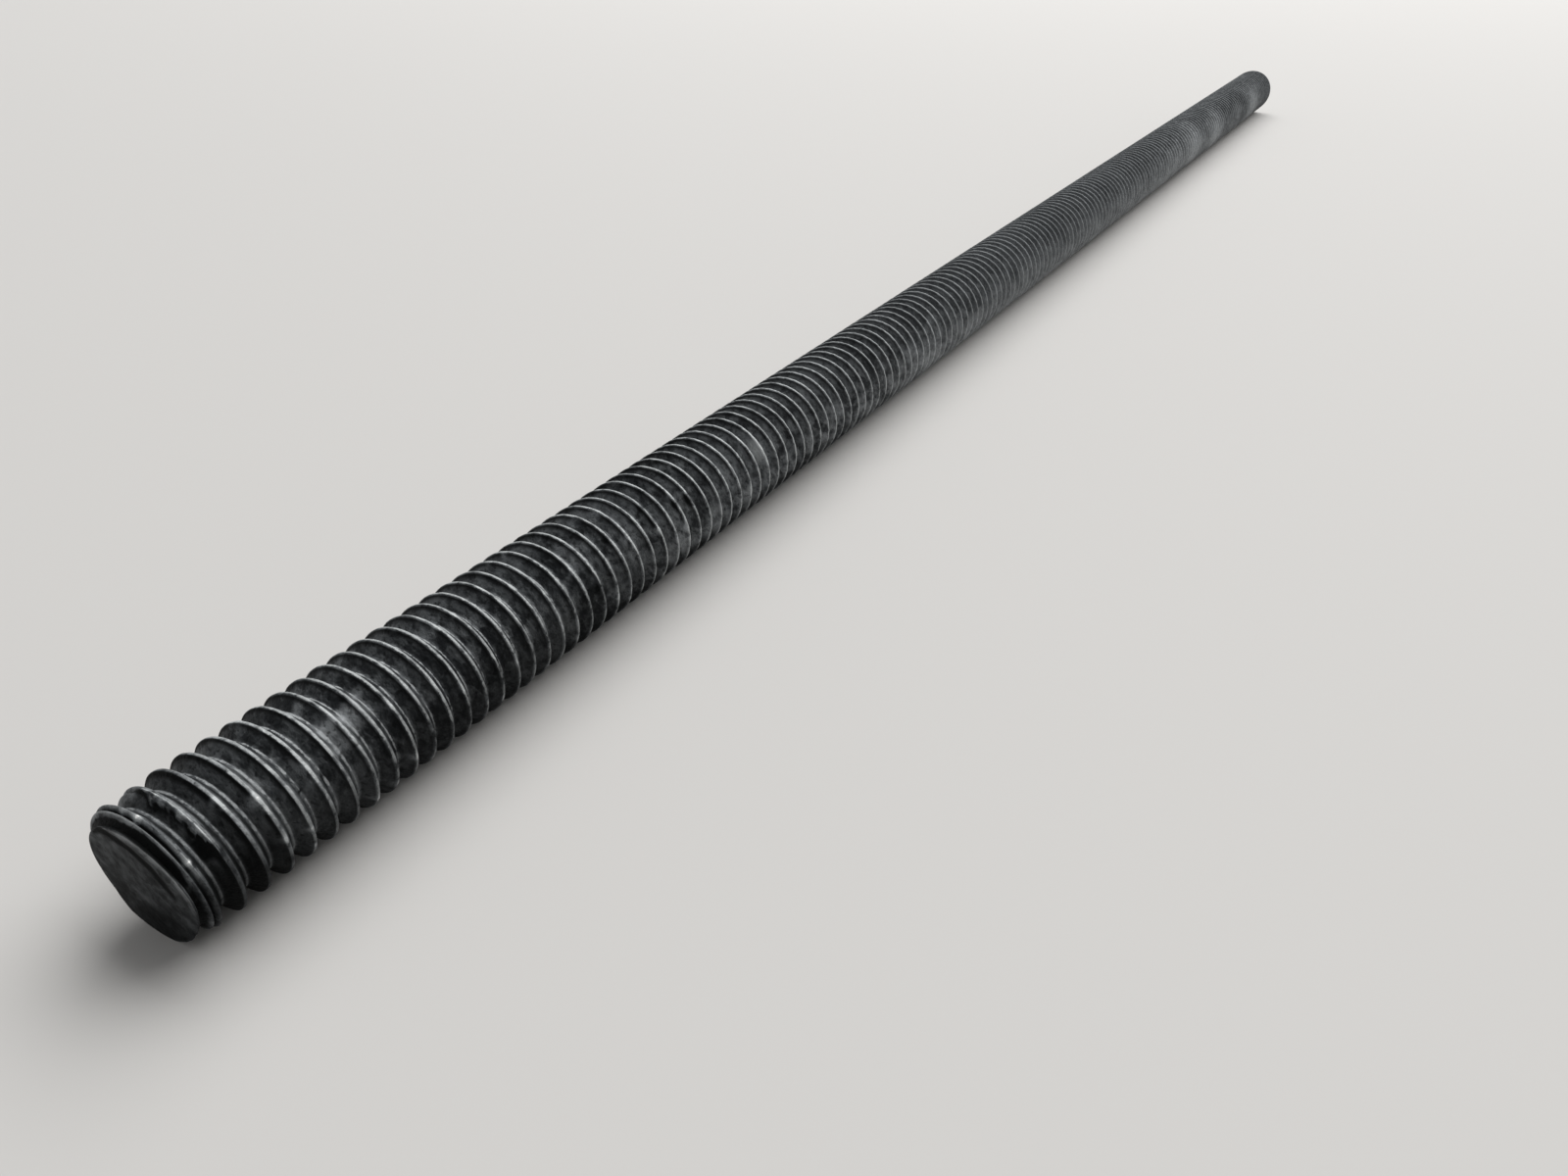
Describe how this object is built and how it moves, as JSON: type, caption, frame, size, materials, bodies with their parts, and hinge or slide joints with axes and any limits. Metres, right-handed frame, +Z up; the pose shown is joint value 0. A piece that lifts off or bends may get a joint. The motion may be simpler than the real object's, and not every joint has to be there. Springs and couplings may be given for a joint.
{
  "type": "threaded rod",
  "caption": "Straight steel rod with a right-hand thread over its whole length, one end cut off and the other chamfered, in a weathered galvanised finish.",
  "frame": {"origin": "on the rod's axis, midway between its two end faces", "axes": "+X along the rod's axis towards the chamfered end, +Z up"},
  "size_m": [0.295, 0.0094, 0.0094],
  "materials": {
    "galvanised_steel": "hot-dip galvanised, weathered to a dull mottled dark grey, brighter along the rubbed crests of the thread"
  },
  "bodies": {
    "root": {"threaded_rod": "galvanised_steel"}
  },
  "joints": []
}
